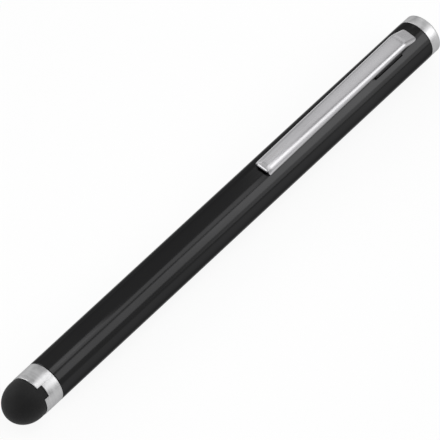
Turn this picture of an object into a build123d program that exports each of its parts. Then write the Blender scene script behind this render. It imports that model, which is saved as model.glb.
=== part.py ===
from build123d import *
import os
from math import atan2, cos, sqrt, tan

# Stylus pen lying on a table with its pocket clip up, in millimetres.
# +X runs along the pen from the soft tip to the end cap, and +Z is up through the clip.
# The origin is on the table, under the middle of the pen's length.

# Main sizes
barrel_diameter = 8.0
barrel_length = 101.0
barrel_wall = 0.5
barrel_edge_chamfer = 0.12
ring_length = 4.05
tip_protrusion = 5.6
cap_length = 2.3

# Clearances and cuts
press_clearance = 0.02  # round pieces that are pressed or screwed together
soft_clearance = 0.06  # rubber against the metal round it
cut_overrun = 1.0  # how far a cutting shape runs past what it cuts
edge_match = 0.001  # how closely an edge's place and radius are matched when it is picked

# Bright ring round the tip
ring_wall = 0.7
ring_floor = 1.15
ring_spigot_length = 1.2
ring_edge_chamfer = 0.12
notch_width = 2.3
notch_depth = 1.05
notch_angle = 37.4  # degrees from straight up, towards -Y

# Soft dome
dome_inset = 0.06  # how far the dome's side lies inside the ring's outside
dome_wall = 1.0
skirt_length = 1.0
skirt_edge_chamfer = 0.12
bead_length = 0.8

# Carrier that holds the dome
head_gap = 0.24  # between the carrier's head and the dome's inside
head_length = 2.0
head_nose_length = 1.1
head_nose_step = 0.8
barb_step = 0.9  # how far the head stands out from the stem behind it
collar_step = 0.1
collar_length = 0.55
shank_engagement = 5.6  # length of the shank inside the bush
shank_end_chamfer = 0.3

# Bush in the front of the barrel
bush_wall = 1.46
bush_length = 8.0
bush_mouth_chamfer = 0.3

# End cap
cap_inset = 0.05  # how far the cap's side lies inside the barrel's outside
cap_edge_chamfer = 0.3
cap_seat_chamfer = 0.12
cap_spigot_length = 2.0
stud_radius = 1.2
stud_length = 5.0

# Pocket clip along the barrel, from the barrel's rear end
clip_end_gap = 2.4
clip_length = 41.4
clip_ramp_length = 3.2
clip_bend_radius = 3.0
heel_length = 0.6
root_corner_radius = 0.7
ear_setback = 0.6  # from the start of the clip's bend to the rear of its ears
ear_length = 7.1
ear_reach = 1.6  # how far the ears reach in past the barrel's wall
ear_corner_round = 0.5
lip_bend_radius = 1.25
nose_corner_radius = 0.6
toe_setback = 0.4  # how far the flanges' lower front corners lie behind the lip

# Pocket clip across its section
clip_width = 3.6
clip_sheet = 0.4
clip_fold_radius = 1.0
lip_slit_width = 0.18  # slit between the lip and each side flange
lip_slit_height = 0.6

# Heights of the pocket clip above the barrel's top
clip_free_rise = 1.28
clip_bend_rise = 1.78
clip_root_rise = 0.3
flange_bend_rise = 0.78
lip_rise = 0.3
clip_lift = 0.08  # how far the clip's heel and the flanges' front ends stand off the barrel

# Slits in the barrel for the clip's ears, and the grooves under them
slit_outer_clearance = 0.12
slit_inner_clearance = 0.1
slit_end_clearance = 0.25
groove_floor_clearance = 0.15

# Insert that holds the clip's ears
insert_front_margin = 3.0
insert_edge_chamfer = 0.3
stud_hole_margin = 0.2

# Places along the axis
overall_length = tip_protrusion + ring_length + barrel_length + cap_length
tip_x = -overall_length / 2
nose_x = tip_x + tip_protrusion - skirt_length
ring_front_x = tip_x + tip_protrusion
barrel_front_x = ring_front_x + ring_length
ring_floor_x = barrel_front_x - ring_floor
bush_front_x = barrel_front_x + ring_spigot_length
barrel_rear_x = barrel_front_x + barrel_length
cap_spigot_front_x = barrel_rear_x - cap_spigot_length
stud_front_x = cap_spigot_front_x - stud_length
cap_end_x = barrel_rear_x + cap_length
clip_root_x = barrel_rear_x - clip_end_gap
clip_bend_x = clip_root_x - clip_ramp_length
clip_free_x = clip_root_x - clip_length

# Radii
barrel_radius = barrel_diameter / 2
bore_radius = barrel_radius - barrel_wall
bore_fit_radius = bore_radius - press_clearance
ring_bore_radius = barrel_radius - ring_wall
shank_hole_radius = bore_fit_radius - bush_wall
shank_radius = shank_hole_radius - press_clearance
dome_radius = barrel_radius - dome_inset
cavity_radius = dome_radius - dome_wall
head_radius = cavity_radius - head_gap
stem_radius = head_radius - barb_step
collar_radius = head_radius - collar_step
cap_radius = barrel_radius - cap_inset

# Widths and heights of the clip, the heights from the pen's axis
clip_half_width = clip_width / 2
clip_inner_half_width = clip_half_width - clip_sheet
clip_free_height = barrel_radius + clip_free_rise
clip_bend_height = barrel_radius + clip_bend_rise
clip_root_height = barrel_radius + clip_root_rise
clip_foot_height = barrel_radius + clip_lift
flange_free_height = sqrt(barrel_radius**2 - clip_inner_half_width**2) + clip_lift
flange_bend_height = barrel_radius + flange_bend_rise
lip_foot_height = barrel_radius + lip_rise
ear_foot_height = bore_radius - ear_reach

# Slopes of the clip's plate and ramp, and the ears, which end just before the bend between them
plate_slope = (clip_bend_height - clip_free_height) / (clip_bend_x - clip_free_x)
ramp_slope = (clip_bend_height - clip_root_height) / clip_ramp_length
plate_angle = atan2(plate_slope, 1)
ramp_angle = atan2(ramp_slope, 1)
bend_reach = clip_bend_radius * tan((plate_angle + ramp_angle) / 2)
bend_start_x = clip_bend_x - bend_reach * cos(plate_angle)
ear_rear_x = bend_start_x - ear_setback
ear_front_x = ear_rear_x - ear_length


def turned(*outline):
    """Solid turned about the pen's axis, from (place along the axis, radius) points."""
    profile = Plane.XZ * make_face(Polyline(*outline, close=True))
    return revolve(profile, Axis.X)


def rims(solid, place, radius):
    """Circular edges of a turned solid at one place along the axis."""
    picked = []
    for edge in solid.edges().filter_by(GeomType.CIRCLE):
        off_place = abs(edge.arc_center.X - place)
        off_radius = abs(edge.radius - radius)
        if off_place < edge_match and off_radius < edge_match:
            picked.append(edge)
    return picked


def block(front, rear, inner_y, outer_y, low, high):
    """Box between two places along the axis, two distances to the side and two heights above the axis."""
    middle = ((front + rear) / 2, (inner_y + outer_y) / 2, (low + high) / 2)
    return Pos(*middle) * Box(rear - front, outer_y - inner_y, high - low)


def mirrored_pair(solid):
    """A solid on the +Y side together with its mirror image on the -Y side."""
    return solid + mirror(solid, Plane.XZ)


def at_height(solid):
    """Lifts a piece from the pen's axis to where the pen lies on the table."""
    return Pos(0, 0, barrel_radius) * solid


def key_block(width, depth, high):
    """Block of the ring's keying notch, from the axis outwards, turned to the notch's angle."""
    front = ring_front_x - skirt_length
    upright = block(front, ring_front_x + depth, -width / 2, width / 2, 0, high)
    return Rot(notch_angle, 0, 0) * upright


def ear_slots(low, high):
    """Cutting shapes that leave room round both of the clip's ears, between two heights."""
    slot = block(
        ear_front_x - slit_end_clearance,
        ear_rear_x + slit_end_clearance,
        clip_inner_half_width - slit_inner_clearance,
        clip_half_width + slit_outer_clearance,
        low,
        high,
    )
    return mirrored_pair(slot)


def make_barrel():
    tube = turned(
        (barrel_front_x, bore_radius),
        (barrel_front_x, barrel_radius),
        (barrel_rear_x, barrel_radius),
        (barrel_rear_x, bore_radius),
    )
    ends = rims(tube, barrel_front_x, barrel_radius) + rims(tube, barrel_rear_x, barrel_radius)
    tube = chamfer(ends, barrel_edge_chamfer)
    return tube - ear_slots(0, barrel_radius + cut_overrun)


def make_tip_ferrule():
    ring = turned(
        (ring_front_x, ring_bore_radius),
        (ring_front_x, barrel_radius),
        (barrel_front_x, barrel_radius),
        (barrel_front_x, bore_fit_radius),
        (bush_front_x, bore_fit_radius),
        (bush_front_x, shank_hole_radius),
        (ring_floor_x, shank_hole_radius),
        (ring_floor_x, ring_bore_radius),
    )
    edges = rims(ring, ring_front_x, barrel_radius) + rims(ring, barrel_front_x, barrel_radius)
    ring = chamfer(edges, ring_edge_chamfer)
    return ring - key_block(notch_width, notch_depth, barrel_radius + cut_overrun)


def make_tip_dome():
    skirt_back_x = ring_front_x - soft_clearance
    neck_radius = ring_bore_radius - soft_clearance
    neck_back_x = ring_floor_x - soft_clearance
    bead_radius = stem_radius + soft_clearance
    bead_back_x = ring_floor_x - collar_length - soft_clearance
    bead_front_x = bead_back_x - bead_length
    pocket_radius = collar_radius + soft_clearance

    # The outside of the nose is a quarter ellipse, and the hollow ends in a half sphere.
    quarter_ellipse_weights = [1, sqrt(0.5), 1]
    outside = Bezier(
        (nose_x, dome_radius),
        (tip_x, dome_radius),
        (tip_x, 0),
        weights=quarter_ellipse_weights,
    )
    inside = CenterArc((nose_x, 0), cavity_radius, 90, 90)
    apex = Line((tip_x, 0), (nose_x - cavity_radius, 0))
    back = Polyline(
        (nose_x, cavity_radius),
        (bead_front_x, cavity_radius),
        (bead_front_x, bead_radius),
        (bead_back_x, bead_radius),
        (bead_back_x, pocket_radius),
        (neck_back_x, pocket_radius),
        (neck_back_x, neck_radius),
        (skirt_back_x, neck_radius),
        (skirt_back_x, dome_radius),
        (nose_x, dome_radius),
    )
    profile = make_face([outside, inside, apex, *back.edges()])
    dome = revolve(Plane.XZ * profile, Axis.X)
    dome = chamfer(rims(dome, skirt_back_x, dome_radius), skirt_edge_chamfer)

    lug_sleeve = turned(
        (nose_x, cavity_radius),
        (nose_x, dome_radius),
        (ring_floor_x, dome_radius),
        (ring_floor_x, cavity_radius),
    )
    lug_width = notch_width - 2 * soft_clearance
    lug = key_block(lug_width, notch_depth - soft_clearance, barrel_radius) & lug_sleeve
    return dome + lug


def make_tip_carrier():
    collar_front_x = ring_floor_x - collar_length
    head_back_x = collar_front_x - bead_length - 2 * soft_clearance
    head_front_x = head_back_x - head_length
    shank_end_x = bush_front_x + shank_engagement
    return turned(
        (head_front_x, 0),
        (head_front_x, head_radius - head_nose_step),
        (head_front_x + head_nose_length, head_radius),
        (head_back_x, head_radius),
        (head_back_x, stem_radius),
        (collar_front_x, stem_radius),
        (collar_front_x, collar_radius),
        (ring_floor_x, collar_radius),
        (ring_floor_x, shank_radius),
        (shank_end_x - shank_end_chamfer, shank_radius),
        (shank_end_x, shank_radius - shank_end_chamfer),
        (shank_end_x, 0),
    )


def make_front_bush():
    bush_end_x = bush_front_x + bush_length
    return turned(
        (bush_front_x, shank_hole_radius + bush_mouth_chamfer),
        (bush_front_x, bore_fit_radius),
        (bush_end_x - bush_mouth_chamfer, bore_fit_radius),
        (bush_end_x, bore_fit_radius - bush_mouth_chamfer),
        (bush_end_x, shank_hole_radius),
        (bush_front_x + bush_mouth_chamfer, shank_hole_radius),
    )


def make_end_cap():
    cap = turned(
        (stud_front_x, 0),
        (stud_front_x, stud_radius),
        (cap_spigot_front_x, stud_radius),
        (cap_spigot_front_x, bore_fit_radius),
        (barrel_rear_x, bore_fit_radius),
        (barrel_rear_x, cap_radius),
        (cap_end_x, cap_radius),
        (cap_end_x, 0),
    )
    cap = chamfer(rims(cap, cap_end_x, cap_radius), cap_edge_chamfer)
    return chamfer(rims(cap, barrel_rear_x, cap_radius), cap_seat_chamfer)


def make_clip_insert():
    insert_front_x = ear_front_x - insert_front_margin
    stud_hole_radius = stud_radius + press_clearance
    stud_hole_front_x = stud_front_x - stud_hole_margin
    plug = turned(
        (insert_front_x, 0),
        (insert_front_x, bore_fit_radius - insert_edge_chamfer),
        (insert_front_x + insert_edge_chamfer, bore_fit_radius),
        (cap_spigot_front_x, bore_fit_radius),
        (cap_spigot_front_x, stud_hole_radius),
        (stud_hole_front_x, stud_hole_radius),
        (stud_hole_front_x, 0),
    )
    return plug - ear_slots(ear_foot_height - groove_floor_clearance, barrel_radius)


def clip_section(plane, inset, depth):
    """Face across the clip: a flat top, a fold at each side and straight flanks, inset from the outside."""
    face = Pos(0, -inset - depth / 2) * Rectangle(clip_width - 2 * inset, depth)
    face = fillet(face.vertices().group_by(Axis.Y)[-1], clip_fold_radius - inset)
    return plane * face


def clip_body(inset):
    """Filled body under the clip's outside, or under its inside when inset by the sheet's thickness."""
    front_x = clip_free_x - cut_overrun
    run_out_x = clip_root_x + cut_overrun
    path = FilletPolyline(
        (front_x, 0, clip_free_height - plate_slope * cut_overrun),
        (clip_bend_x, 0, clip_bend_height),
        (run_out_x, 0, clip_root_height - ramp_slope * cut_overrun),
        radius=clip_bend_radius,
    )
    plate_line, bend_arc, ramp_line = path.edges().sort_by(Axis.X)
    front_plane = Plane(plate_line @ 0, x_dir=(0, 1, 0), z_dir=plate_line % 0)
    bend_plane = Plane(plate_line @ 1, x_dir=(0, 1, 0), z_dir=plate_line % 1)
    ear_depth = clip_bend_height - ear_foot_height + cut_overrun
    plate_body = extrude(clip_section(front_plane, inset, ear_depth), amount=plate_line.length)
    ramp_body = sweep(clip_section(bend_plane, inset, clip_bend_rise), Wire([bend_arc, ramp_line]))
    return plate_body + ramp_body


def flange_foot(x):
    """Height of the flanges' lower edges at a place along the plate."""
    toe_x = clip_free_x + toe_setback
    share = (x - toe_x) / (clip_bend_x - toe_x)
    return flange_free_height + share * (flange_bend_height - flange_free_height)


def nose_arc(inset):
    """Quarter round of the bend at the clip's free end, on its outside or inset from it, in side view."""
    centre = (clip_free_x + lip_bend_radius, clip_free_height - lip_bend_radius)
    return CenterArc(centre, lip_bend_radius - inset, 90, 90)


def clip_side_outline():
    """Side outline of the clip: a rounded free end, the flanges' lower edges, the ears and a flat heel."""
    top = clip_bend_height + cut_overrun
    nose = nose_arc(0)
    rest = Polyline(
        nose @ 1,
        (clip_free_x + toe_setback, flange_free_height),
        (ear_front_x, flange_foot(ear_front_x)),
        (ear_front_x, ear_foot_height),
        (ear_rear_x, ear_foot_height),
        (ear_rear_x, flange_foot(ear_rear_x)),
        (clip_bend_x, flange_bend_height),
        (clip_root_x - heel_length, clip_foot_height),
        (clip_root_x, clip_foot_height),
        (clip_root_x, top),
        (clip_free_x + lip_bend_radius, top),
        nose @ 0,
    )
    outline = make_face([nose, *rest.edges()])
    outline = fillet(outline.vertices().group_by(Axis.Y)[0], ear_corner_round)
    return extrude(Plane.XZ * outline, amount=clip_width, both=True)


def clip_hollow_outline():
    """Side outline of the space under the sheet, closed at the free end by the lip."""
    top = clip_bend_height + cut_overrun
    end_x = clip_root_x + cut_overrun
    nose = nose_arc(clip_sheet)
    rest = Polyline(
        nose @ 1,
        (clip_free_x + clip_sheet, 0),
        (end_x, 0),
        (end_x, top),
        (clip_free_x + lip_bend_radius, top),
        nose @ 0,
    )
    outline = make_face([nose, *rest.edges()])
    return extrude(Plane.XZ * outline, amount=clip_width, both=True)


def clip_plan_outline():
    """Plan outline of the clip, with its corners rounded at both ends."""
    length = clip_root_x - clip_free_x
    plan = Rectangle(length, clip_width)
    plan = fillet(plan.vertices().group_by(Axis.X)[-1], root_corner_radius)
    plan = fillet(plan.vertices().group_by(Axis.X)[0], nose_corner_radius)
    middle_x = (clip_free_x + clip_root_x) / 2
    return Pos(middle_x, 0, 0) * extrude(plan, amount=clip_bend_height + cut_overrun)


def lip_cuts():
    """Room under the lip, and the slits that part it from the side flanges."""
    front = clip_free_x - cut_overrun
    rear = clip_free_x + lip_bend_radius
    slit_outer = clip_inner_half_width
    lip_half = slit_outer - lip_slit_width
    under = block(front, rear, -slit_outer, slit_outer, 0, lip_foot_height)
    slit = block(front, rear, lip_half, slit_outer, 0, lip_foot_height + lip_slit_height)
    return under + mirrored_pair(slit)


def make_clip():
    hollow = clip_body(clip_sheet) & clip_hollow_outline()
    sheet = clip_body(0) - hollow
    return (sheet & clip_side_outline() & clip_plan_outline()) - lip_cuts()


pieces = {
    "barrel": make_barrel(),
    "tip_ferrule": make_tip_ferrule(),
    "tip_dome": make_tip_dome(),
    "tip_carrier": make_tip_carrier(),
    "front_bush": make_front_bush(),
    "clip": make_clip(),
    "clip_insert": make_clip_insert(),
    "end_cap": make_end_cap(),
}

os.makedirs("parts", exist_ok=True)
for name, piece in pieces.items():
    export_step(at_height(piece), f"parts/{name}.step")
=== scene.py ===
from math import acos, asin, copysign, cos, pi, radians, sin, sqrt, tan

import bmesh
import bpy
from mathutils import Matrix, Vector


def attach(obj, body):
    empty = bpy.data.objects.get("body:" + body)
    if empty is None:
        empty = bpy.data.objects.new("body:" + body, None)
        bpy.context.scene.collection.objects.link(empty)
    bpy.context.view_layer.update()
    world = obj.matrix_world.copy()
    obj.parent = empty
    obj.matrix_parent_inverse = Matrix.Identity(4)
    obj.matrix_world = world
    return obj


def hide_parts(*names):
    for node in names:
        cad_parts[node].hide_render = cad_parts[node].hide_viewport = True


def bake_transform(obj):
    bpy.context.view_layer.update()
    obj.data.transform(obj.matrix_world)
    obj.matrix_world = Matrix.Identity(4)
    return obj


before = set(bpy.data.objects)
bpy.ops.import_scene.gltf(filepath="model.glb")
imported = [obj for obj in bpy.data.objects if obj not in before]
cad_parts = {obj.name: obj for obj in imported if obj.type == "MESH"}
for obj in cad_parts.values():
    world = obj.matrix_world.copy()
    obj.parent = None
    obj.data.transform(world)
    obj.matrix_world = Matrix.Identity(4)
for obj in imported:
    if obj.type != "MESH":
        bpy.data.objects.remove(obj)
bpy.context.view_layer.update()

# Stylus pen on a pale floor. Sizes are in millimetres, as in the part's source, where no comment says
# metres, and MM turns them into metres.
MM = 0.001

# Places along the pen and radii
AXIS_HEIGHT = 4.0
TIP_X = -56.475
NOSE_X = -51.875
RING_FRONT_X = -50.875
RING_FLOOR_X = -47.975
BARREL_FRONT_X = -46.825
SPIGOT_END_X = -45.625
BARREL_REAR_X = 54.175
CAP_SPIGOT_FRONT_X = 52.175
STUD_FRONT_X = 47.175
CAP_END_X = 56.475
BARREL_RADIUS = 4.0
BORE_RADIUS = 3.5
BORE_FIT_RADIUS = 3.48
RING_BORE_RADIUS = 3.3
SHANK_HOLE_RADIUS = 2.02
CAP_RADIUS = 3.95
STUD_RADIUS = 1.2

# Soft dome
DOME_RADIUS = 3.94
CAVITY_RADIUS = 2.94
SOFT_CLEARANCE = 0.06
NECK_RADIUS = RING_BORE_RADIUS - SOFT_CLEARANCE
SKIRT_BACK_X = RING_FRONT_X - SOFT_CLEARANCE
NECK_BACK_X = RING_FLOOR_X - SOFT_CLEARANCE
POCKET_RADIUS = 2.66
BEAD_RADIUS = 1.86
BEAD_BACK_X = -48.585
BEAD_FRONT_X = -49.385

# Notch that keys the dome in the ring
NOTCH_ANGLE = radians(37.4)
NOTCH_DEPTH = 1.05
NOTCH_HALF_WIDTH = 1.15
LUG_HALF_WIDTH = NOTCH_HALF_WIDTH - SOFT_CLEARANCE

# Pocket clip: places along the pen, heights above the floor and sheet sizes
CLIP_FREE_X = 10.375
CLIP_BEND_X = 48.575
CLIP_ROOT_X = 51.775
CLIP_FREE_TOP = 9.28
CLIP_BEND_TOP = 9.78
CLIP_ROOT_TOP = 8.3
CLIP_FOOT = 8.08
LIP_FOOT = 8.36
FLANGE_FREE_FOOT = 7.827
FLANGE_BEND_FOOT = 8.78
HEEL_LENGTH = 0.6
TOE_SETBACK = 0.4
CLIP_HALF_WIDTH = 1.8
CLIP_SHEET = 0.4
FOLD_RADIUS_FREE = 1.5
FOLD_RADIUS_BEND = 0.84
CROWN_ANGLE = radians(5)
CLIP_BEND_RADIUS = 3.0
LIP_BEND_RADIUS = 1.1
ROOT_CORNER_RADIUS = 0.7
EAR_SETBACK = 0.6
EAR_LENGTH = 7.1
EAR_FOOT = 5.9
EAR_CORNER_RADIUS = 0.5

# Power of the curve that eases the corners of the clip's free end
NOSE_POWER = 3.6

# Middle line of the clip's top: a straight plate, a bend and a straight ramp
PLATE_SLOPE = (CLIP_BEND_TOP - CLIP_FREE_TOP) / (CLIP_BEND_X - CLIP_FREE_X)
RAMP_SLOPE = (CLIP_ROOT_TOP - CLIP_BEND_TOP) / (CLIP_ROOT_X - CLIP_BEND_X)
PLATE_WAY = Vector((1, PLATE_SLOPE)).normalized()
RAMP_WAY = Vector((1, RAMP_SLOPE)).normalized()
BEND_TURN = PLATE_WAY.angle(RAMP_WAY)
BEND_REACH = CLIP_BEND_RADIUS * tan(BEND_TURN / 2)
BEND_START = Vector((CLIP_BEND_X, CLIP_BEND_TOP)) - PLATE_WAY * BEND_REACH
BEND_END = Vector((CLIP_BEND_X, CLIP_BEND_TOP)) + RAMP_WAY * BEND_REACH
BEND_CENTRE = BEND_START + Vector((PLATE_WAY.y, -PLATE_WAY.x)) * CLIP_BEND_RADIUS
NOSE_CENTRE = Vector((
    CLIP_FREE_X + LIP_BEND_RADIUS,
    CLIP_FREE_TOP + PLATE_SLOPE * LIP_BEND_RADIUS - LIP_BEND_RADIUS,
))
EAR_REAR_X = BEND_START.x - EAR_SETBACK
EAR_FRONT_X = EAR_REAR_X - EAR_LENGTH

# Slits for the clip's ears
SLIT_END_CLEARANCE = 0.25
SLIT_FRONT_X = EAR_FRONT_X - SLIT_END_CLEARANCE
SLIT_REAR_X = EAR_REAR_X + SLIT_END_CLEARANCE
SLIT_INNER_Y = 1.3
SLIT_OUTER_Y = 1.87

# Edge roundings
RING_EDGE = 0.12
BARREL_EDGE = 0.18
SKIRT_EDGE = 0.2
CAP_END_EDGE = 0.34
CAP_SEAT_EDGE = 0.07
HIDDEN_EDGE = 0.1
SHEET_BEVEL = 0.07
SLIT_BEVEL = 0.05
NOTCH_BEVEL = 0.05

# Mesh counts
TURNS = 224
NOTCH_STEPS = 24
ROUND_STEPS = 6
DOME_STEPS = 40
BARREL_ROWS = 48
SLIT_ROWS = 8
TAIL_ROWS = 4
CROWN_STEPS = 6
FOLD_STEPS = 20
LIP_FOLD_STEPS = 7
LIP_COLUMNS = CROWN_STEPS + LIP_FOLD_STEPS
LIP_STEPS = 12
NOSE_ROWS = 10
PLATE_ROWS = 26
EAR_CORNER_STEPS = 5
EAR_STEPS = 8
EAR_DEPTH_STEPS = 4
ROOT_ROWS = 22

# Mesh spacing: how far the close rows at the clip's free end go, and the step between the rows at the
# ends of the bore, which leaves room for the bevel
NOSE_ROWS_LENGTH = 2.4
NOSE_ROWS_END_X = CLIP_FREE_X + NOSE_ROWS_LENGTH
BORE_ROW_STEP = 0.2

# Searches for places on the clip's sheet
CLIP_WIDEST_REACH = 6.0
HALVINGS = 40
FIXED_POINT_STEPS = 30

# Points closer than MERGE_DISTANCE, in metres, are merged, and edges sharper than an angle are bevelled
MERGE_DISTANCE = 1e-7
SHARP_ANGLE = radians(38)
CLIP_SHARP_ANGLE = radians(66)
BEVEL_SEGMENTS = 3
NORMAL_WEIGHT = 80


def spread(start, end, count):
    """Places from start to end in equal steps, both ends among them."""
    return [start + (end - start) * index / count for index in range(count + 1)]


def rounded_outline(corners):
    """Outline points from (x, radius, rounding, keyed) corners, with each rounding made as an arc."""
    points = []
    last = len(corners) - 1
    for index, (x, radius, rounding, keyed) in enumerate(corners):
        corner = Vector((x, radius))
        if rounding == 0 or index in (0, last):
            points.append((x, radius, keyed))
            continue
        to_before = (Vector(corners[index - 1][:2]) - corner).normalized()
        to_after = (Vector(corners[index + 1][:2]) - corner).normalized()
        half_angle = to_before.angle(to_after) / 2
        centre = corner + (to_before + to_after).normalized() * (rounding / sin(half_angle))
        start = corner + to_before * (rounding / tan(half_angle)) - centre
        end = corner + to_after * (rounding / tan(half_angle)) - centre
        sweep = start.angle(end)
        for step in range(ROUND_STEPS + 1):
            share = step / ROUND_STEPS
            spoke = (start * sin((1 - share) * sweep) + end * sin(share * sweep)) / sin(sweep)
            points.append((centre.x + spoke.x, centre.y + spoke.y, keyed))
    return points


def round_the_axis(x, radius, angle):
    """Point at an angle from straight up, turning towards -Y."""
    return (x, -radius * sin(angle), AXIS_HEIGHT + radius * cos(angle))


def turned_mesh(outline):
    """Points and faces of a solid turned about the pen's axis, from an outline with both ends on it."""
    columns = []
    for index in range(TURNS):
        angle = 2 * pi * index / TURNS
        columns.append([round_the_axis(x, radius, angle) for x, radius, _ in outline])
    return joined_columns(columns, False)


def keyed_mesh(outline, half_width, least_radius, shift, closed):
    """Like turned_mesh, but inside the keying notch the outline's keyed points are moved along the axis."""
    outside_steps = TURNS - NOTCH_STEPS
    columns = []
    for index in range(NOTCH_STEPS + 1):
        across = (2 * index / NOTCH_STEPS - 1) * half_width
        column = []
        for x, radius, keyed in outline:
            angle = NOTCH_ANGLE + asin(across / max(radius, least_radius))
            column.append(round_the_axis(x + shift * keyed, radius, angle))
        columns.append(column)
    for index in range(outside_steps + 1):
        share = index / outside_steps
        column = []
        for x, radius, _ in outline:
            edge = asin(half_width / max(radius, least_radius))
            angle = NOTCH_ANGLE + edge + share * (2 * pi - 2 * edge)
            column.append(round_the_axis(x, radius, angle))
        columns.append(column)
    return joined_columns(columns, closed)


def joined_columns(columns, closed):
    """Faces between neighbouring columns of points, all the way round."""
    count = len(columns)
    rows = len(columns[0])
    points = [point for column in columns for point in column]
    faces = []
    for index in range(count):
        here = index * rows
        there = (index + 1) % count * rows
        for row in range(rows if closed else rows - 1):
            below = (row + 1) % rows
            faces.append((here + row, there + row, there + below, here + below))
    return points, faces


def sheet_solid(outer, inner, faces):
    """Closed shell from two matching layers of points: their faces and a wall along every open edge."""
    count = len(outer)
    shell = [tuple(face) for face in faces]
    shell += [tuple(count + corner for corner in reversed(face)) for face in faces]
    edges = {}
    for face in faces:
        for start, end in zip(face, face[1:] + face[:1]):
            edges[(start, end)] = True
    for start, end in edges:
        if (end, start) not in edges:
            shell.append((end, start, count + start, count + end))
    return list(outer) + list(inner), shell


def add_piece(name, points, faces, bevel, sharp_angle=SHARP_ANGLE):
    """Mesh object in the part's frame, with doubles merged, edges rounded and normals weighted."""
    mesh = bpy.data.meshes.new(name)
    mesh.from_pydata([Vector(point) * MM for point in points], [], faces)
    work = bmesh.new()
    work.from_mesh(mesh)
    bmesh.ops.remove_doubles(work, verts=work.verts, dist=MERGE_DISTANCE)
    bmesh.ops.dissolve_degenerate(work, edges=work.edges, dist=MERGE_DISTANCE)
    bmesh.ops.recalc_face_normals(work, faces=work.faces)
    for face in work.faces:
        face.smooth = True
    work.to_mesh(mesh)
    work.free()
    piece = bpy.data.objects.new(name, mesh)
    bpy.context.scene.collection.objects.link(piece)
    if bevel:
        rounding = piece.modifiers.new("edge_rounding", "BEVEL")
        rounding.width = bevel * MM
        rounding.segments = BEVEL_SEGMENTS
        rounding.limit_method = "ANGLE"
        rounding.angle_limit = sharp_angle
    weighting = piece.modifiers.new("weighted_normals", "WEIGHTED_NORMAL")
    weighting.weight = NORMAL_WEIGHT
    depsgraph = bpy.context.evaluated_depsgraph_get()
    final = bpy.data.meshes.new_from_object(piece.evaluated_get(depsgraph), depsgraph=depsgraph)
    piece.modifiers.clear()
    piece.data = final
    final.name = name
    bpy.data.meshes.remove(mesh)
    return piece


def barrel_rows():
    """Rows of the tube as (x, radius, x in the bore), with the ends rounded on the outside."""
    front_round = []
    rear_round = []
    for step in range(ROUND_STEPS + 1):
        angle = pi / 2 * step / ROUND_STEPS
        radius = BARREL_RADIUS - BARREL_EDGE * (1 - sin(angle))
        inset = BARREL_EDGE * (1 - cos(angle))
        bore_inset = BORE_ROW_STEP * step
        front_round.append((BARREL_FRONT_X + inset, radius, BARREL_FRONT_X + bore_inset))
        rear_round.insert(0, (BARREL_REAR_X - inset, radius, BARREL_REAR_X - bore_inset))
    body_rows = spread(BARREL_FRONT_X + BARREL_EDGE, SLIT_FRONT_X, BARREL_ROWS)[1:-1]
    body_rows += spread(SLIT_FRONT_X, SLIT_REAR_X, SLIT_ROWS)
    body_rows += spread(SLIT_REAR_X, BARREL_REAR_X - BARREL_EDGE, TAIL_ROWS)[1:-1]
    return front_round + [(x, BARREL_RADIUS, x) for x in body_rows] + rear_round


def bore_angle(angle):
    """Angle in the bore for one outside: at the same y from slit to slit, and evenly spread elsewhere."""
    across = BARREL_RADIUS * sin(angle)
    if cos(angle) > 0 and abs(across) < SLIT_OUTER_Y:
        return asin(across / BORE_RADIUS)
    edge = asin(SLIT_OUTER_Y / BARREL_RADIUS)
    bore_edge = asin(SLIT_OUTER_Y / BORE_RADIUS)
    turn = angle % (2 * pi)
    share = (turn - edge) / (2 * pi - 2 * edge)
    return bore_edge + share * (2 * pi - 2 * bore_edge)


def make_barrel_tube():
    rows = barrel_rows()

    # Columns that carry the sides of the slits, and how far each side is from the pen's middle plane
    step_angle = 2 * pi / TURNS
    slit_columns = {}
    for side in (1, -1):
        for reach in (SLIT_INNER_Y, SLIT_OUTER_Y):
            column = round(side * asin(reach / BARREL_RADIUS) / step_angle) % TURNS
            slit_columns[column] = side * reach
    outer = []
    inner = []
    for x, radius, bore_x in rows:
        for column in range(TURNS):
            angle = column * step_angle
            if column in slit_columns:
                outer_angle = asin(slit_columns[column] / BARREL_RADIUS)
                inner_angle = asin(slit_columns[column] / BORE_RADIUS)
            else:
                outer_angle = angle
                inner_angle = bore_angle(angle)
            outer.append(round_the_axis(x, radius, outer_angle))
            inner.append(round_the_axis(bore_x, BORE_RADIUS, inner_angle))
    faces = []
    for row in range(len(rows) - 1):
        in_slit_row = SLIT_FRONT_X <= rows[row][0] < SLIT_REAR_X
        for column in range(TURNS):
            middle_angle = (column + 0.5) * step_angle
            side = abs(sin(middle_angle)) * BARREL_RADIUS
            if in_slit_row and cos(middle_angle) > 0 and SLIT_INNER_Y < side < SLIT_OUTER_Y:
                continue
            beside = (column + 1) % TURNS
            here = row * TURNS
            faces.append((here + column, here + beside, here + TURNS + beside, here + TURNS + column))
    points, shell = sheet_solid(outer, inner, faces)
    return add_piece("barrel_tube", points, shell, SLIT_BEVEL)


def make_tip_ring():
    outline = rounded_outline([
        (RING_FLOOR_X, SHANK_HOLE_RADIUS, 0, 0),
        (RING_FLOOR_X, RING_BORE_RADIUS, 0, 0),
        (RING_FRONT_X, RING_BORE_RADIUS, HIDDEN_EDGE, 1),
        (RING_FRONT_X, BARREL_RADIUS, RING_EDGE, 1),
        (BARREL_FRONT_X, BARREL_RADIUS, RING_EDGE, 0),
        (BARREL_FRONT_X, BORE_FIT_RADIUS, 0, 0),
        (SPIGOT_END_X, BORE_FIT_RADIUS, HIDDEN_EDGE, 0),
        (SPIGOT_END_X, SHANK_HOLE_RADIUS, 0, 0),
    ])
    points, faces = keyed_mesh(outline, NOTCH_HALF_WIDTH, RING_BORE_RADIUS, NOTCH_DEPTH, True)
    return add_piece("tip_ring", points, faces, NOTCH_BEVEL)


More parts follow.
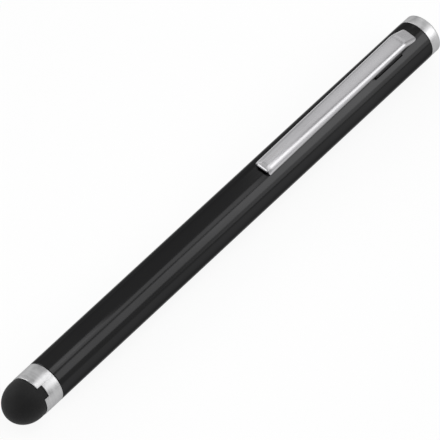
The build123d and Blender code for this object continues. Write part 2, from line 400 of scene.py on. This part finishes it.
def make_soft_dome():
    nose_length = NOSE_X - TIP_X
    outline = []
    for step in range(DOME_STEPS + 1):
        angle = pi / 2 * step / DOME_STEPS
        outline.append((NOSE_X - nose_length * cos(angle), DOME_RADIUS * sin(angle), 0))
    back = rounded_outline([
        (NOSE_X, DOME_RADIUS, 0, 0),
        (SKIRT_BACK_X, DOME_RADIUS, SKIRT_EDGE, 1),
        (SKIRT_BACK_X, NECK_RADIUS, 0, 1),
        (NECK_BACK_X, NECK_RADIUS, HIDDEN_EDGE, 0),
        (NECK_BACK_X, POCKET_RADIUS, 0, 0),
        (BEAD_BACK_X, POCKET_RADIUS, 0, 0),
        (BEAD_BACK_X, BEAD_RADIUS, HIDDEN_EDGE, 0),
        (BEAD_FRONT_X, BEAD_RADIUS, HIDDEN_EDGE, 0),
        (BEAD_FRONT_X, CAVITY_RADIUS, 0, 0),
        (NOSE_X, CAVITY_RADIUS, 0, 0),
    ])
    outline += back[1:]
    for step in range(1, DOME_STEPS + 1):
        angle = pi / 2 * step / DOME_STEPS
        outline.append((NOSE_X - CAVITY_RADIUS * sin(angle), CAVITY_RADIUS * cos(angle), 0))
    points, faces = keyed_mesh(outline, LUG_HALF_WIDTH, NECK_RADIUS, NOTCH_DEPTH, False)
    return add_piece("soft_dome", points, faces, NOTCH_BEVEL)


def make_cap_shell():
    outline = rounded_outline([
        (STUD_FRONT_X, 0, 0, 0),
        (STUD_FRONT_X, STUD_RADIUS, HIDDEN_EDGE, 0),
        (CAP_SPIGOT_FRONT_X, STUD_RADIUS, 0, 0),
        (CAP_SPIGOT_FRONT_X, BORE_FIT_RADIUS, HIDDEN_EDGE, 0),
        (BARREL_REAR_X, BORE_FIT_RADIUS, 0, 0),
        (BARREL_REAR_X, CAP_RADIUS, CAP_SEAT_EDGE, 0),
        (CAP_END_X, CAP_RADIUS, CAP_END_EDGE, 0),
        (CAP_END_X, 0, 0, 0),
    ])
    points, faces = turned_mesh(outline)
    return add_piece("cap_shell", points, faces, 0)


def clip_line(x):
    """Height of the clip's top at a place along the pen, and the sheet's direction there as (x, height)."""
    if x <= BEND_START.x:
        return CLIP_FREE_TOP + PLATE_SLOPE * (x - CLIP_FREE_X), PLATE_WAY
    if x >= BEND_END.x:
        return CLIP_BEND_TOP + RAMP_SLOPE * (x - CLIP_BEND_X), RAMP_WAY
    rise = sqrt(CLIP_BEND_RADIUS ** 2 - (x - BEND_CENTRE.x) ** 2)
    out = Vector((x - BEND_CENTRE.x, rise)).normalized()
    return BEND_CENTRE.y + rise, Vector((out.y, -out.x))


def flange_foot(x):
    """Height of the flanges' lower edge at a place along the pen."""
    heel_x = CLIP_ROOT_X - HEEL_LENGTH
    toe_x = CLIP_FREE_X + TOE_SETBACK
    if x <= CLIP_BEND_X:
        share = (x - toe_x) / (CLIP_BEND_X - toe_x)
        return FLANGE_FREE_FOOT + share * (FLANGE_BEND_FOOT - FLANGE_FREE_FOOT)
    share = min(1, (x - CLIP_BEND_X) / (heel_x - CLIP_BEND_X))
    return FLANGE_BEND_FOOT + share * (CLIP_FOOT - FLANGE_BEND_FOOT)


def fold_sizes(x):
    """Radius of the folds at a place along the pen, and half width and radius of the crown between them."""
    share = min(1, max(0, (x - CLIP_FREE_X) / (CLIP_BEND_X - CLIP_FREE_X)))
    radius = FOLD_RADIUS_FREE + share * (FOLD_RADIUS_BEND - FOLD_RADIUS_FREE)
    crown_half = CLIP_HALF_WIDTH - radius * (1 - sin(CROWN_ANGLE))
    return radius, crown_half, crown_half / sin(CROWN_ANGLE)


def section_point(x, reach, side, depth):
    """Point of the folded section, reach along the sheet from the middle and depth below its outer face."""
    height, way = clip_line(x)
    radius, crown_half, crown_radius = fold_sizes(x)
    crown_length = crown_radius * CROWN_ANGLE
    fold_length = radius * (pi / 2 - CROWN_ANGLE)
    crown_drop = crown_radius * (1 - cos(CROWN_ANGLE))
    if reach <= crown_length:
        turn = reach / crown_radius
        across = crown_radius * sin(turn)
        drop = crown_radius * (1 - cos(turn))
    elif reach <= crown_length + fold_length:
        turn = CROWN_ANGLE + (reach - crown_length) / radius
        across = crown_half + radius * (sin(turn) - sin(CROWN_ANGLE))
        drop = crown_drop + radius * (cos(CROWN_ANGLE) - cos(turn))
    else:
        turn = pi / 2
        across = CLIP_HALF_WIDTH
        drop = crown_drop + radius * cos(CROWN_ANGLE) + reach - crown_length - fold_length
    across -= depth * sin(turn)
    drop += depth * cos(turn)
    return (x + way.y * drop, side * across, height - way.x * drop)


def section_reach(x):
    """How far along the sheet the section goes before it meets the flanges' lower edge."""
    low = 0
    high = CLIP_WIDEST_REACH
    for _ in range(HALVINGS):
        middle = (low + high) / 2
        point = section_point(x, middle, 1, 0)
        if point[2] > flange_foot(point[0]):
            low = middle
        else:
            high = middle
    return low


def sheet_point(x, column, depth):
    """Point of the clip's sheet in a column, which is counted from the middle, positive towards +Y."""
    crown_length = fold_sizes(x)[2] * CROWN_ANGLE
    offset = abs(column)
    side = 1 if column >= 0 else -1
    if offset <= CROWN_STEPS:
        return section_point(x, crown_length * offset / CROWN_STEPS, side, depth)
    share = (offset - CROWN_STEPS) / FOLD_STEPS
    return section_point(x, crown_length + share * (section_reach(x) - crown_length), side, depth)


def nose_place(height, depth):
    """Place along the pen of the clip's free end at one height, on its outer face or depth inside it."""
    above = height - NOSE_CENTRE.y
    radius = LIP_BEND_RADIUS - depth
    if above >= 0:
        return NOSE_CENTRE.x - sqrt(max(0, radius ** 2 - above ** 2))
    toe_share = above / (FLANGE_FREE_FOOT - NOSE_CENTRE.y)
    return CLIP_FREE_X + depth + TOE_SETBACK * toe_share


def corner_setback(y, half_width, radius):
    """How far a rounded plan corner lies behind the end of the sheet, at a distance from the middle."""
    beyond = max(0, abs(y) - (half_width - radius))
    return radius - sqrt(max(0, radius ** 2 - beyond ** 2))


def free_end(column, depth, nose_depth):
    """Place where a column of the sheet ends at the clip's free end, bent in side view."""
    x = CLIP_FREE_X + LIP_BEND_RADIUS
    for _ in range(FIXED_POINT_STEPS):
        x = nose_place(sheet_point(x, column, depth)[2], nose_depth)
    return x


def root_end(column):
    """Place where a column of the sheet ends at the clip's root, rounded in plan."""
    x = CLIP_ROOT_X - ROOT_CORNER_RADIUS
    for _ in range(FIXED_POINT_STEPS):
        point = sheet_point(x, column, 0)
        target = CLIP_ROOT_X - corner_setback(point[1], CLIP_HALF_WIDTH, ROOT_CORNER_RADIUS)
        x += (target - point[0]) / 2
    return x


class Sheet:
    """Two matching layers of points, the sheet's outer and inner face, with faces between named points."""

    def __init__(self):
        self.outer = []
        self.inner = []
        self.faces = []
        self.index_of = {}

    def add(self, name, outer_point, inner_point):
        self.index_of[name] = len(self.outer)
        self.outer.append(outer_point)
        self.inner.append(inner_point)

    def face(self, *names):
        self.faces.append(tuple(self.index_of[name] for name in names))


def clip_rows():
    """Places along the pen of the plate's rows in front of the ears, and of the ears' own rows."""
    ear_front_end = EAR_FRONT_X + EAR_CORNER_RADIUS
    ear_rear_start = EAR_REAR_X - EAR_CORNER_RADIUS
    ear_rows = spread(EAR_FRONT_X, ear_front_end, EAR_CORNER_STEPS)
    ear_rows += spread(ear_front_end, ear_rear_start, EAR_STEPS)[1:]
    ear_rows += spread(ear_rear_start, EAR_REAR_X, EAR_CORNER_STEPS)[1:]
    plate_rows = spread(NOSE_ROWS_END_X, EAR_FRONT_X, PLATE_ROWS)[:-1]
    return plate_rows, ear_rows


def add_clip_plate(sheet, columns):
    """The plate with its folds, from the rounded free end to the rounded root."""
    plate_rows, ear_rows = clip_rows()
    for column in columns:
        in_lip = abs(column) <= LIP_COLUMNS
        outer_end = free_end(column, 0, 0)
        inner_end = free_end(column, CLIP_SHEET, CLIP_SHEET if in_lip else 0)
        root_rows = spread(EAR_REAR_X, root_end(column), ROOT_ROWS)[1:]
        shared_rows = plate_rows + ear_rows + root_rows
        outer_rows = spread(outer_end, NOSE_ROWS_END_X, NOSE_ROWS)[:-1] + shared_rows
        inner_rows = spread(inner_end, NOSE_ROWS_END_X, NOSE_ROWS)[:-1] + shared_rows
        for row, (outer_x, inner_x) in enumerate(zip(outer_rows, inner_rows)):
            outer_point = sheet_point(outer_x, column, 0)
            sheet.add((row, column), outer_point, sheet_point(inner_x, column, CLIP_SHEET))
    for row in range(len(outer_rows) - 1):
        for left, right in zip(columns, columns[1:]):
            sheet.face((row, left), (row + 1, left), (row + 1, right), (row, right))


def add_clip_lip(sheet):
    """The lip at the free end, bent down from the plate's end rows towards the barrel."""
    lip_columns = range(LIP_COLUMNS, -LIP_COLUMNS - 1, -1)
    for column in lip_columns:
        first = sheet.index_of[(0, column)]
        sheet.index_of[("lip", 0, column)] = first
        ends = []
        for point, depth in ((sheet.outer[first], 0), (sheet.inner[first], CLIP_SHEET)):
            radius = LIP_BEND_RADIUS - depth
            start = acos(min(1, (point[2] - NOSE_CENTRE.y) / radius))
            end = acos((LIP_FOOT - NOSE_CENTRE.y) / radius)
            ends.append((point[1], radius, start, end))
        for step in range(1, LIP_STEPS + 1):
            layer_points = []
            for y, radius, start, end in ends:
                angle = start + (end - start) * step / LIP_STEPS
                x = NOSE_CENTRE.x - radius * sin(angle)
                layer_points.append((x, y, NOSE_CENTRE.y + radius * cos(angle)))
            sheet.add(("lip", step, column), *layer_points)
    for step in range(LIP_STEPS):
        for left, right in zip(lip_columns, lip_columns[1:]):
            sheet.face(
                ("lip", step, right),
                ("lip", step + 1, right),
                ("lip", step + 1, left),
                ("lip", step, left),
            )


def add_clip_ears(sheet, edge_column):
    """The ears, from the flanges' lower edges down through the slits."""
    plate_rows, ear_rows = clip_rows()
    first_row = NOSE_ROWS + len(plate_rows)
    for column in (edge_column, -edge_column):
        for place, x in enumerate(ear_rows):
            top = sheet.index_of[(first_row + place, column)]
            sheet.index_of[("ear", column, 0, place)] = top
            inset = min(x - EAR_FRONT_X, EAR_REAR_X - x, EAR_CORNER_RADIUS)
            lift = EAR_CORNER_RADIUS - sqrt(EAR_CORNER_RADIUS ** 2 - (EAR_CORNER_RADIUS - inset) ** 2)
            for step in range(1, EAR_DEPTH_STEPS + 1):
                share = step / EAR_DEPTH_STEPS
                layer_points = []
                for point in (sheet.outer[top], sheet.inner[top]):
                    layer_points.append((x, point[1], point[2] + share * (EAR_FOOT + lift - point[2])))
                sheet.add(("ear", column, step, place), *layer_points)
        for step in range(EAR_DEPTH_STEPS):
            for place in range(len(ear_rows) - 1):
                ring = [
                    ("ear", column, step, place),
                    ("ear", column, step + 1, place),
                    ("ear", column, step + 1, place + 1),
                    ("ear", column, step, place + 1),
                ]
                sheet.face(*(ring if column > 0 else reversed(ring)))


def ease_nose(sheet):
    """Rounds the free end's corners, where the lip's bend runs into the folds, by drawing them in."""
    for index, (outer, inner) in enumerate(zip(sheet.outer, sheet.inner)):
        x, y, height = outer
        fold_radius = fold_sizes(x)[0]
        side_share = max(0, 1 - (CLIP_HALF_WIDTH - abs(y)) / fold_radius)
        front_share = max(0, 1 - (x - CLIP_FREE_X) / LIP_BEND_RADIUS)
        if side_share == 0 or front_share == 0:
            continue
        rounded_share = (side_share ** NOSE_POWER + front_share ** NOSE_POWER) ** (1 / NOSE_POWER)
        pull_share = 1 - max(side_share, front_share) / rounded_share
        back = pull_share * front_share * LIP_BEND_RADIUS
        inward = -copysign(pull_share * side_share * fold_radius, y)
        sheet.outer[index] = (x + back, y + inward, height)
        sheet.inner[index] = (inner[0] + back, inner[1] + inward, inner[2])


def make_pocket_clip():
    edge_column = CROWN_STEPS + FOLD_STEPS
    sheet = Sheet()
    add_clip_plate(sheet, range(edge_column, -edge_column - 1, -1))
    add_clip_lip(sheet)
    ease_nose(sheet)
    add_clip_ears(sheet, edge_column)
    points, shell = sheet_solid(sheet.outer, sheet.inner, sheet.faces)
    return add_piece("pocket_clip", points, shell, SHEET_BEVEL, CLIP_SHARP_ANGLE)


# Ranges of a noise between which the finishes go from one tone or roughness to the other
WIDE_NOISE_SHARES = (0.3, 0.75)
NOISE_SHARES = (0.3, 0.7)
NARROW_NOISE_SHARES = (0.36, 0.64)

# Where a new stop starts on a colour ramp, before it gets its own place
NEW_STOP_SHARE = 0.5


class Nodes:
    """Small helper that builds a material's node tree."""

    def __init__(self, name):
        self.material = bpy.data.materials.new(name)
        self.material.use_nodes = True
        self.tree = self.material.node_tree
        self.shader = self.tree.nodes["Principled BSDF"]
        coordinates = self.tree.nodes.new("ShaderNodeTexCoord")
        self.place = coordinates.outputs["Object"]

    def feed(self, socket, value):
        """Links an output to a socket, or sets a plain value on it."""
        if isinstance(value, bpy.types.NodeSocket):
            self.tree.links.new(value, socket)
        else:
            socket.default_value = value

    def put(self, kind, **inputs):
        """New node of a kind, its inputs given by name with _ for each space."""
        node = self.tree.nodes.new(kind)
        for key, value in inputs.items():
            self.feed(node.inputs[key.replace("_", " ")], value)
        return node

    def stretched(self, scales):
        node = self.put("ShaderNodeMapping", Vector=self.place, Scale=scales)
        return node.outputs["Vector"]

    def noise(self, vector, scale, detail):
        node = self.put("ShaderNodeTexNoise", Vector=vector, Scale=scale, Detail=detail)
        return node.outputs["Fac"]

    def between(self, value, low, high, to_low, to_high):
        node = self.put(
            "ShaderNodeMapRange",
            Value=value,
            From_Min=low,
            From_Max=high,
            To_Min=to_low,
            To_Max=to_high,
        )
        return node.outputs["Result"]

    def maths(self, operation, *values):
        node = self.tree.nodes.new("ShaderNodeMath")
        node.operation = operation
        for socket, value in zip(node.inputs, values):
            self.feed(socket, value)
        return node.outputs["Value"]

    def weighted(self, first, first_share, second):
        """Sum of two values, the first with its share and the second with the rest."""
        first_part = self.maths("MULTIPLY", first, first_share)
        second_part = self.maths("MULTIPLY", second, 1 - first_share)
        return self.maths("ADD", first_part, second_part)

    def colours(self, value, stops):
        """Colour of a ramp with (place, colour) stops."""
        node = self.put("ShaderNodeValToRGB", Fac=value)
        ramp = node.color_ramp
        while len(ramp.elements) < len(stops):
            ramp.elements.new(NEW_STOP_SHARE)
        for element, (position, colour) in zip(ramp.elements, stops):
            element.position = position
            element.color = (*colour, 1)
        return node.outputs["Color"]

    def tones(self, noise, noise_shares, dark, pale):
        """Colour that goes from dark to pale over a range of a noise."""
        low_share, high_share = noise_shares
        return self.colours(noise, ((low_share, dark), (high_share, pale)))

    def mixed(self, blend_type, factor, first, second):
        node = self.put("ShaderNodeMix", Factor=factor)
        node.data_type = "RGBA"
        node.blend_type = blend_type
        colour_inputs = [socket for socket in node.inputs if socket.type == "RGBA"]
        self.tree.links.new(first, colour_inputs[0])
        self.tree.links.new(second, colour_inputs[1])
        return next(socket for socket in node.outputs if socket.type == "RGBA")

    def surface(self, socket, value):
        """Gives an input of the shader an output or a plain value."""
        self.feed(self.shader.inputs[socket], value)

    def mottle(self, noise, noise_shares, dark, pale):
        self.surface("Base Color", self.tones(noise, noise_shares, dark, pale))

    def roughen(self, noise, noise_shares, smooth, rough):
        low_share, high_share = noise_shares
        self.surface("Roughness", self.between(noise, low_share, high_share, smooth, rough))

    def emboss(self, noise, depth):
        """Bump from a noise, with its depth in metres."""
        node = self.put("ShaderNodeBump", Height=noise, Distance=depth, Strength=1.0)
        self.surface("Normal", node.outputs["Normal"])


def black_lacquer():
    nodes = Nodes("black_lacquer")
    clouds = nodes.noise(nodes.place, scale=45.0, detail=4.0)
    nodes.mottle(clouds, WIDE_NOISE_SHARES, dark=(0.027, 0.027, 0.0275), pale=(0.032, 0.032, 0.0325))
    smears = nodes.noise(nodes.stretched((60.0, 260.0, 260.0)), scale=1.0, detail=5.0)
    nodes.roughen(smears, WIDE_NOISE_SHARES, smooth=0.13, rough=0.18)
    peel = nodes.noise(nodes.place, scale=900.0, detail=2.0)
    nodes.emboss(peel, depth=1.2e-6)
    nodes.surface("Metallic", 1.0)
    nodes.surface("Specular Tint", (0.45, 0.45, 0.45, 1))
    return nodes.material


def turned_lines(nodes, scale):
    """Noise that runs in rings about the pen's axis, on the sides and on the end faces alike."""
    split = nodes.put("ShaderNodeSeparateXYZ", Vector=nodes.place)
    above_axis = nodes.maths("SUBTRACT", split.outputs["Z"], AXIS_HEIGHT * MM)
    across_squared = nodes.maths("POWER", split.outputs["Y"], 2.0)
    above_squared = nodes.maths("POWER", above_axis, 2.0)
    radius = nodes.maths("SQRT", nodes.maths("ADD", across_squared, above_squared))
    joined = nodes.put("ShaderNodeCombineXYZ", X=split.outputs["X"], Y=radius)
    return nodes.noise(joined.outputs["Vector"], scale, detail=2.0)


# Part of the clouds in the chrome's tone, the rest being turned lines
CLOUD_SHARE = 0.5


def bright_chrome():
    nodes = Nodes("bright_chrome")
    clouds = nodes.noise(nodes.place, scale=900.0, detail=4.0)
    lines = turned_lines(nodes, scale=3600.0)
    tone = nodes.weighted(clouds, CLOUD_SHARE, lines)
    nodes.mottle(tone, NARROW_NOISE_SHARES, dark=(0.43, 0.43, 0.435), pale=(0.54, 0.54, 0.545))
    nodes.roughen(tone, NARROW_NOISE_SHARES, smooth=0.28, rough=0.42)
    nodes.emboss(lines, depth=1.2e-6)
    nodes.surface("Metallic", 1.0)
    nodes.surface("Specular Tint", (0.6, 0.6, 0.6, 1))
    return nodes.material


# The clip's steel from its middle to its flanges, as shares of the half width and of white, with light and
# shade painted into its tone: a painted highlight along the folds, and near the free end along the middle
# too, and painted shade on the flanks and ears.
ROOT_STEEL_AND_PAINTED_LIGHT_SHARES = ((0.0, 0.385), (0.72, 0.39), (0.88, 0.525), (0.955, 0.42), (1.0, 0.12))
NOSE_STEEL_AND_PAINTED_LIGHT_SHARES = ((0.0, 0.53), (0.5, 0.53), (0.78, 0.425), (0.88, 0.44), (0.955, 0.62), (1.0, 0.1))
STEEL_TINT_SHARES = (1.0, 0.99, 1.015)
# Length from the free end over which the painted highlight along the middle gives way to the root's levels
PAINTED_NOSE_HIGHLIGHT_LENGTH = 12.0

# Part of the fine grain in the steel's streaks, the rest being broad ones
GRAIN_SHARE = 0.6


def stops_with_painted_light(shares_with_painted_light):
    """Stops of a colour ramp in the steel's tint, from places and levels of white that hold painted light
    and shade.
    """
    stops = []
    for place, level in shares_with_painted_light:
        stops.append((place, tuple(level * tint for tint in STEEL_TINT_SHARES)))
    return stops


def clip_steel():
    nodes = Nodes("clip_steel")
    grain = nodes.noise(nodes.stretched((45.0, 5200.0, 5200.0)), scale=1.0, detail=3.0)
    broad = nodes.noise(nodes.stretched((20.0, 700.0, 700.0)), scale=1.0, detail=3.0)
    tone = nodes.weighted(grain, GRAIN_SHARE, broad)
    split = nodes.put("ShaderNodeSeparateXYZ", Vector=nodes.place)
    off_middle = nodes.maths("ABSOLUTE", split.outputs["Y"])
    side_share = nodes.between(off_middle, 0, CLIP_HALF_WIDTH * MM, 0, 1)
    painted_nose_highlight_end = (CLIP_FREE_X + PAINTED_NOSE_HIGHLIGHT_LENGTH) * MM
    root_share = nodes.between(split.outputs["X"], CLIP_FREE_X * MM, painted_nose_highlight_end, 0, 1)
    # Painted light: lighter along the folds and near the free end as painted highlights, darker on the
    # flanks and ears as painted shade
    nose_steel_and_painted_light = nodes.colours(side_share, stops_with_painted_light(NOSE_STEEL_AND_PAINTED_LIGHT_SHARES))
    root_steel_and_painted_light = nodes.colours(side_share, stops_with_painted_light(ROOT_STEEL_AND_PAINTED_LIGHT_SHARES))
    steel_with_painted_light = nodes.mixed("MIX", root_share, nose_steel_and_painted_light, root_steel_and_painted_light)
    streaks = nodes.tones(tone, NOISE_SHARES, dark=(0.93, 0.93, 0.93), pale=(1.0, 1.0, 1.0))
    nodes.surface("Base Color", nodes.mixed("MULTIPLY", 1.0, steel_with_painted_light, streaks))
    nodes.roughen(grain, NOISE_SHARES, smooth=0.26, rough=0.34)
    nodes.emboss(grain, depth=3e-7)
    nodes.surface("Metallic", 1.0)
    return nodes.material


def tip_rubber():
    nodes = Nodes("tip_rubber")
    clouds = nodes.noise(nodes.place, scale=320.0, detail=4.0)
    nodes.mottle(clouds, WIDE_NOISE_SHARES, dark=(0.005, 0.005, 0.0053), pale=(0.008, 0.008, 0.0083))
    grain = nodes.noise(nodes.place, scale=7000.0, detail=3.0)
    nodes.roughen(grain, NOISE_SHARES, smooth=0.58, rough=0.72)
    nodes.emboss(grain, depth=6e-6)
    nodes.surface("IOR", 1.3)
    return nodes.material


def turned_brass():
    nodes = Nodes("turned_brass")
    lines = turned_lines(nodes, scale=4200.0)
    nodes.mottle(lines, NOISE_SHARES, dark=(0.62, 0.44, 0.17), pale=(0.72, 0.53, 0.24))
    nodes.roughen(lines, NOISE_SHARES, smooth=0.22, rough=0.34)
    nodes.emboss(lines, depth=2e-6)
    nodes.surface("Metallic", 1.0)
    return nodes.material


def insert_plastic():
    nodes = Nodes("insert_plastic")
    clouds = nodes.noise(nodes.place, scale=240.0, detail=3.0)
    nodes.mottle(clouds, NOISE_SHARES, dark=(0.02, 0.02, 0.021), pale=(0.028, 0.028, 0.03))
    grain = nodes.noise(nodes.place, scale=4500.0, detail=3.0)
    nodes.roughen(grain, NOISE_SHARES, smooth=0.42, rough=0.55)
    nodes.emboss(grain, depth=3e-6)
    return nodes.material


MATERIALS = {
    "black_lacquer": black_lacquer(),
    "bright_chrome": bright_chrome(),
    "clip_steel": clip_steel(),
    "tip_rubber": tip_rubber(),
    "turned_brass": turned_brass(),
    "insert_plastic": insert_plastic(),
}


def dress(piece, slot_name):
    piece.data.materials.clear()
    piece.data.materials.append(MATERIALS[slot_name])


def install(piece, node, body, slot_name):
    """Gives a piece its finish and its body, and hides the CAD node that it stands for."""
    dress(piece, slot_name)
    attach(piece, body)
    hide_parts(node)


install(make_barrel_tube(), "barrel", "barrel", "black_lacquer")
install(make_tip_ring(), "tip_ferrule", "barrel", "bright_chrome")
install(make_cap_shell(), "end_cap", "barrel", "bright_chrome")
install(make_pocket_clip(), "clip", "clip", "clip_steel")

soft_dome = make_soft_dome()
dress(soft_dome, "tip_rubber")
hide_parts("tip_dome")
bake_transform(soft_dome)

for node_name, slot_name in (
    ("tip_carrier", "turned_brass"),
    ("front_bush", "turned_brass"),
    ("clip_insert", "insert_plastic"),
):
    node_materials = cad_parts[node_name].data.materials
    node_materials.clear()
    node_materials.append(MATERIALS[slot_name])

# Camera: its directions, and its place from the ring's back edge on the pen's axis
IMAGE_PIXELS = 440
FOCAL_PIXELS = 5580.0
SENSOR_WIDTH = 36.0
VIEW_RIGHT = (0.6398, -0.7643, 0.0803)
VIEW_BACK = (-0.49115, -0.32631, 0.80765)
CAMERA_BACK = 948.2
CAMERA_RIGHT = 29.66
CAMERA_UP = 27.56

# How near and how far the camera sees, in metres
SIGHT_START = 0.05
SIGHT_END = 20.0

view_right = Vector(VIEW_RIGHT).normalized()
view_back = Vector(VIEW_BACK).normalized()
view_up = view_back.cross(view_right).normalized()
view_right = view_up.cross(view_back).normalized()
anchor = Vector((BARREL_FRONT_X, 0, AXIS_HEIGHT))
camera_place = anchor + view_back * CAMERA_BACK + view_right * CAMERA_RIGHT + view_up * CAMERA_UP

camera_data = bpy.data.cameras.new("photo_camera")
camera_data.sensor_width = SENSOR_WIDTH
camera_data.lens = SENSOR_WIDTH * FOCAL_PIXELS / IMAGE_PIXELS
camera_data.clip_start = SIGHT_START
camera_data.clip_end = SIGHT_END
camera = bpy.data.objects.new("photo_camera", camera_data)
camera_turn = Matrix((view_right, view_up, view_back)).transposed().to_4x4()
camera.matrix_world = Matrix.Translation(camera_place * MM) @ camera_turn
bpy.context.scene.collection.objects.link(camera)
bpy.context.scene.camera = camera

# Softboxes. Each is given by what the barrel mirrors of it into the camera: the ends of a stretch of the
# pen, and of a range of angles about its axis, in degrees from straight up towards -Y. Its distance and
# its radiance follow.
SOFTBOXES = (
    ("softbox_wide", -210, 210, 24.0, 61.0, 500, 1.4),
    ("softbox_rear", -3, 137, 22.0, 84.0, 300, 1.0),
    ("softbox_narrow", -130, 9, 3.0, 16.5, 90, 1.35),
    ("softbox_front", -130, -37, -9.0, 3.0, 90, 1.7),
    ("softbox_top", 10, 52, -24.0, -7.0, 80, 0.95),
    ("softbox_far", 10, 52, -66.0, -24.0, 80, 0.58),
    ("softbox_end", 50, 130, 4.0, 24.0, 200, 0.95),
)

# Lamps given by their direction, by their distance, width and length in metres, and by their radiance
FAR_LAMPS = (
    ("key_lamp", (-0.15, 0.88, 0.45), 1.0, 0.7, 0.7, 2.3),
    ("rim_lamp", (-0.93, 0.33, 0.11), 0.8, 0.5, 0.17, 3.0),
    ("root_lamp", (0.86, 0.33, 0.40), 0.8, 0.5, 0.4, 0.7),
)

# Part of the camera's line of sight that runs along the pen, which a mirroring barrel does not change
MIRROR_SLOPE = 0.491


def hang_lamp(name, matrix, width, length, radiance):
    """Area lamp, in metres, whose face has one radiance all over."""
    lamp = bpy.data.lights.new(name, "AREA")
    lamp.shape = "RECTANGLE"
    lamp.size = width
    lamp.size_y = length
    lamp.energy = radiance * pi * width * length
    holder = bpy.data.objects.new(name, lamp)
    holder.matrix_world = matrix
    holder.visible_camera = False
    bpy.context.scene.collection.objects.link(holder)


def softbox(name, first_x, last_x, first_angle, last_angle, distance, radiance):
    slant = sqrt(1 - MIRROR_SLOPE ** 2)
    angle = radians((first_angle + last_angle) / 2)
    away = Vector((MIRROR_SLOPE, -slant * sin(angle), slant * cos(angle)))
    side = Vector((0, -cos(angle), -sin(angle)))
    facing = Matrix((side, away.cross(side), away)).transposed().to_4x4()
    middle = Vector(((first_x + last_x) / 2, 0, AXIS_HEIGHT)) + away * distance
    width = distance * slant * radians(last_angle - first_angle)
    length = (last_x - first_x) * slant
    hang_lamp(name, Matrix.Translation(middle * MM) @ facing, width * MM, length * MM, radiance)


def far_lamp(name, direction, distance, width, length, radiance):
    away = Vector(direction).normalized()
    facing = away.to_track_quat("Z", "Y").to_matrix().to_4x4()
    hang_lamp(name, Matrix.Translation(away * distance) @ facing, width, length, radiance)


for softbox_values in SOFTBOXES:
    softbox(*softbox_values)
for lamp_values in FAR_LAMPS:
    far_lamp(*lamp_values)

# World: a plain grey level that gets a little lighter down to the horizon
WORLD_LEVEL = 0.6
HORIZON_LEVEL = 0.72
HORIZON_RISE = 0.12

# Floor: half its side in metres, and a matte surface that is nearly white to the camera and in reflections
FLOOR_HALF = 2.0
FLOOR_COLOUR = (0.86, 0.86, 0.86, 1)
FLOOR_WHITE_SHARE = 0.9


def seen_directly(tree):
    """1 for camera, glossy and transmission rays, 0 for the rest."""
    path = tree.nodes.new("ShaderNodeLightPath")
    either = tree.nodes.new("ShaderNodeMath")
    either.operation = "ADD"
    tree.links.new(path.outputs["Is Camera Ray"], either.inputs[0])
    tree.links.new(path.outputs["Is Glossy Ray"], either.inputs[1])
    any_of_three = tree.nodes.new("ShaderNodeMath")
    any_of_three.operation = "ADD"
    any_of_three.use_clamp = True
    tree.links.new(either.outputs["Value"], any_of_three.inputs[0])
    tree.links.new(path.outputs["Is Transmission Ray"], any_of_three.inputs[1])
    return any_of_three.outputs["Value"]


world = bpy.data.worlds.new("studio")
world.use_nodes = True
bpy.context.scene.world = world
world_tree = world.node_tree
background = world_tree.nodes["Background"]
background.inputs["Color"].default_value = (1, 1, 1, 1)
world_place = world_tree.nodes.new("ShaderNodeTexCoord")
world_split = world_tree.nodes.new("ShaderNodeSeparateXYZ")
world_fade = world_tree.nodes.new("ShaderNodeMapRange")
world_fade.interpolation_type = "SMOOTHSTEP"
world_fade.inputs["From Min"].default_value = 0
world_fade.inputs["From Max"].default_value = HORIZON_RISE
world_fade.inputs["To Min"].default_value = HORIZON_LEVEL
world_fade.inputs["To Max"].default_value = WORLD_LEVEL
world_tree.links.new(world_place.outputs["Generated"], world_split.inputs["Vector"])
world_tree.links.new(world_split.outputs["Z"], world_fade.inputs["Value"])
world_tree.links.new(world_fade.outputs["Result"], background.inputs["Strength"])

floor_corners = [
    (-FLOOR_HALF, -FLOOR_HALF, 0),
    (FLOOR_HALF, -FLOOR_HALF, 0),
    (FLOOR_HALF, FLOOR_HALF, 0),
    (-FLOOR_HALF, FLOOR_HALF, 0),
]
floor_mesh = bpy.data.meshes.new("floor")
floor_mesh.from_pydata(floor_corners, [], [(0, 1, 2, 3)])
floor = bpy.data.objects.new("floor", floor_mesh)
bpy.context.scene.collection.objects.link(floor)
floor_material = bpy.data.materials.new("pale_floor")
floor_material.use_nodes = True
floor_tree = floor_material.node_tree
floor_tree.nodes.clear()
matte = floor_tree.nodes.new("ShaderNodeBsdfDiffuse")
matte.inputs["Color"].default_value = FLOOR_COLOUR
white = floor_tree.nodes.new("ShaderNodeEmission")
white.inputs["Strength"].default_value = 1.0
white_share = floor_tree.nodes.new("ShaderNodeMath")
white_share.operation = "MULTIPLY"
white_share.inputs[1].default_value = FLOOR_WHITE_SHARE
floor_tree.links.new(seen_directly(floor_tree), white_share.inputs[0])
floor_mix = floor_tree.nodes.new("ShaderNodeMixShader")
floor_tree.links.new(white_share.outputs["Value"], floor_mix.inputs["Fac"])
floor_tree.links.new(matte.outputs["BSDF"], floor_mix.inputs[1])
floor_tree.links.new(white.outputs["Emission"], floor_mix.inputs[2])
floor_output = floor_tree.nodes.new("ShaderNodeOutputMaterial")
floor_tree.links.new(floor_mix.outputs["Shader"], floor_output.inputs["Surface"])
floor_mesh.materials.append(floor_material)

bpy.context.scene.view_settings.view_transform = "Standard"
